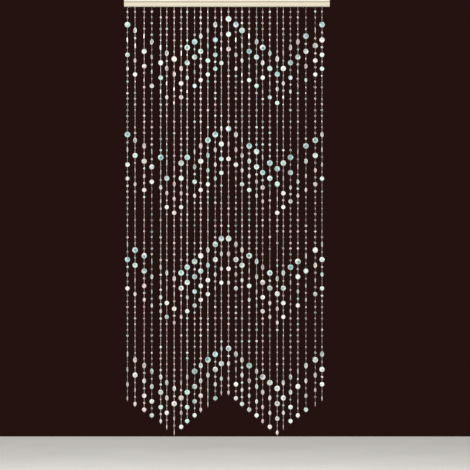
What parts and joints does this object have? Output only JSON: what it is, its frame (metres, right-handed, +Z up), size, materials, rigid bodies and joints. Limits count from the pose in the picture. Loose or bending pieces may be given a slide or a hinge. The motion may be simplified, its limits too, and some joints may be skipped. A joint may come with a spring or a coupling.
{
  "type": "string door curtain with rail",
  "caption": "Hanging door curtain: a slim moulded rail holds strands of small and large flat plastic discs whose bands and hem run in zigzags.",
  "frame": {"origin": "middle of the rail's flat back face", "axes": "+Z up, front faces -Y, +X to the right as seen from the front"},
  "size_m": [0.945, 0.027, 1.9996],
  "materials": {
    "rail": "satin ivory moulding",
    "strands": "clear pearl with a mint and blue shimmer"
  },
  "bodies": {
    "root": {"rail": "rail", "strand_strip_1": "strands", "strand_strip_2": "strands", "strand_strip_3": "strands", "strand_strip_4": "strands"}
  },
  "joints": []
}
